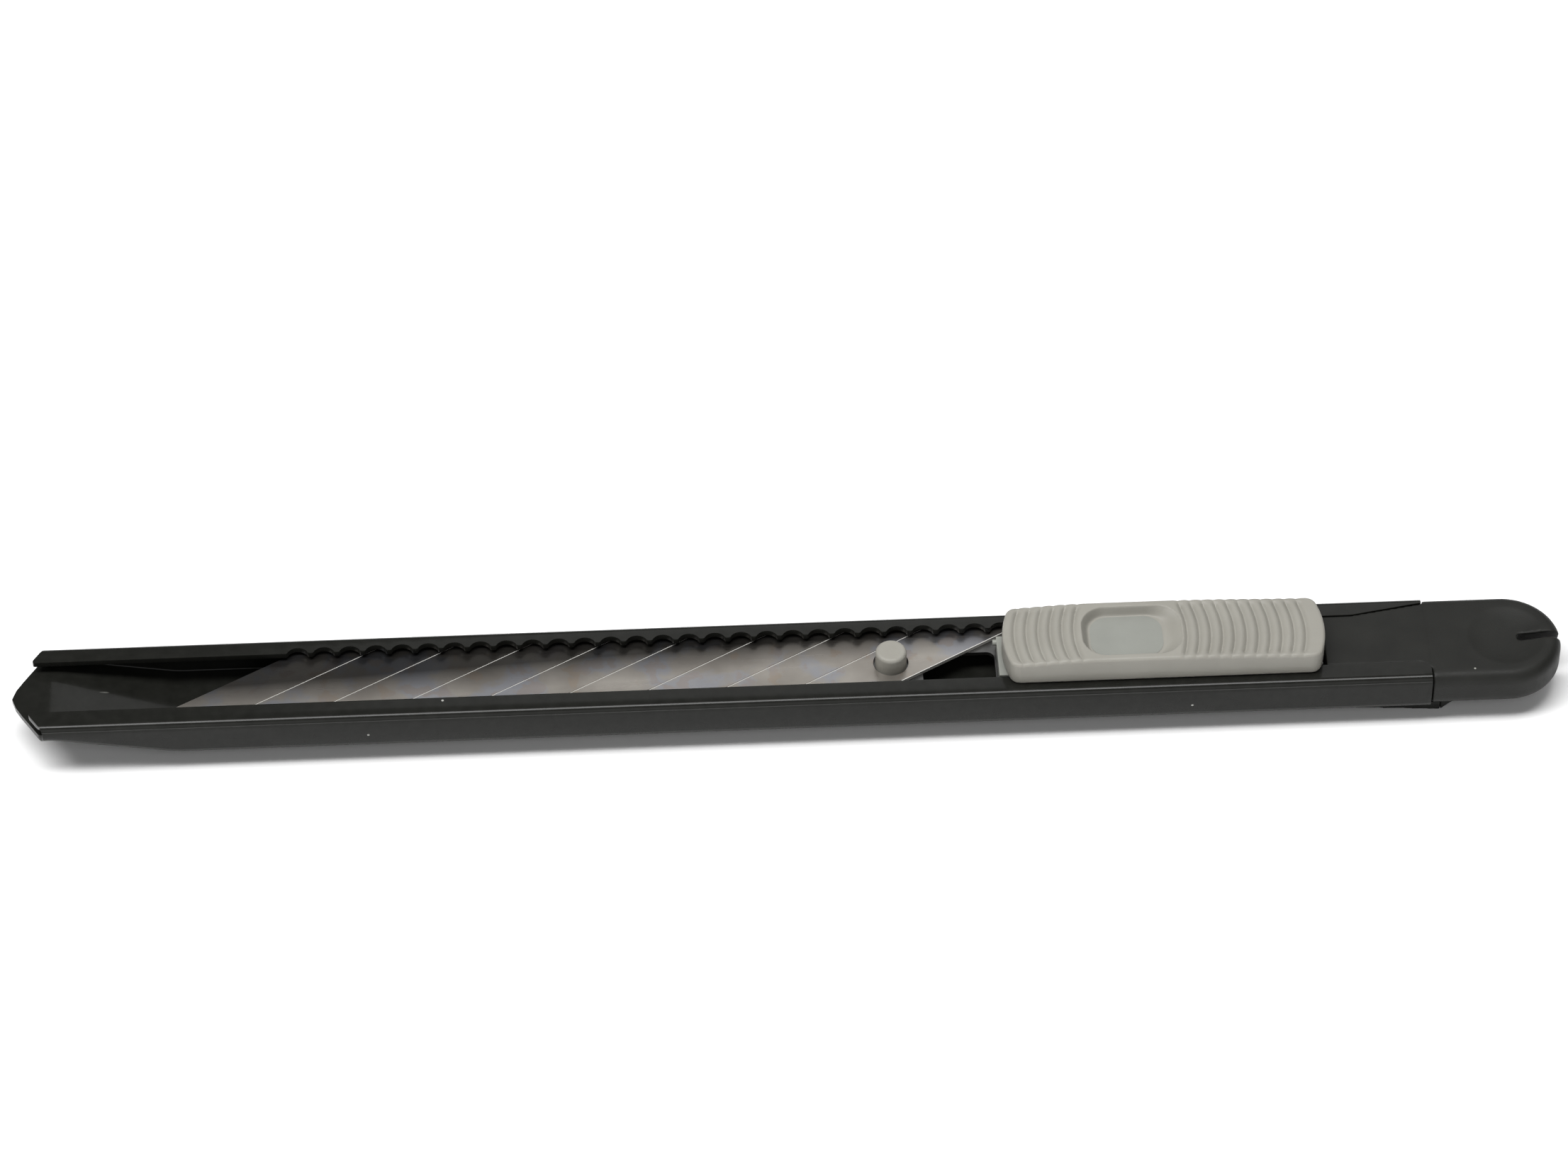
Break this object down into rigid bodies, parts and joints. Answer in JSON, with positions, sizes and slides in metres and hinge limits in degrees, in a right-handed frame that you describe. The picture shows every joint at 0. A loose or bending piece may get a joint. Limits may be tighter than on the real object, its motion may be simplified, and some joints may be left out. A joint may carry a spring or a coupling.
{
  "type": "snap off knife",
  "caption": "Slim snap-off cutter: folded steel channel with a toothed lip, sliding scored blade with ribbed thumb grip, pull-out snapper cap and sprung pocket clip.",
  "frame": {"origin": "centre of the bounding box in plan, at the lowest face of the pocket clip", "axes": "+X along the knife from the nose to the end cap, +Z out of the open side, +Y towards the toothed lip"},
  "size_m": [0.1484, 0.011, 0.0087],
  "materials": {
    "body_lacquer": "glossy black lacquer",
    "cap_plastic": "fine matte black",
    "grip_plastic": "satin warm light grey",
    "shoe_plastic": "smooth light grey",
    "spring_steel": "plain spring steel",
    "holder_steel": "dark blued strip",
    "blade_steel": "rolled steel with faint stains"
  },
  "bodies": {
    "channel": {"body_channel": "body_lacquer"},
    "slider": {"slider_grip": "grip_plastic", "slider_shoe": "shoe_plastic", "lock_spring": "spring_steel", "blade_holder": "holder_steel", "holder_stud": "grip_plastic", "snap_off_blade": "blade_steel"},
    "cap": {"end_cap": "cap_plastic"},
    "clip": {"pocket_clip": "cap_plastic"}
  },
  "joints": [
    {"name": "slider_slide", "type": "slide", "parent": "channel", "child": "slider", "axis": [-1, 0, 0], "range_m": [0, 0.07], "deforming": ["lock_spring"]},
    {"name": "cap_pull", "type": "slide", "parent": "channel", "child": "cap", "axis": [1, 0, 0], "range_m": [0, 0.012]},
    {"name": "clip_flex", "type": "hinge", "parent": "cap", "child": "clip", "pos_m": [0.06243, 0, 0], "axis": [0, -1, 0], "range_deg": [0, 6], "stiffness_Nm_per_rad": 0.5}
  ]
}
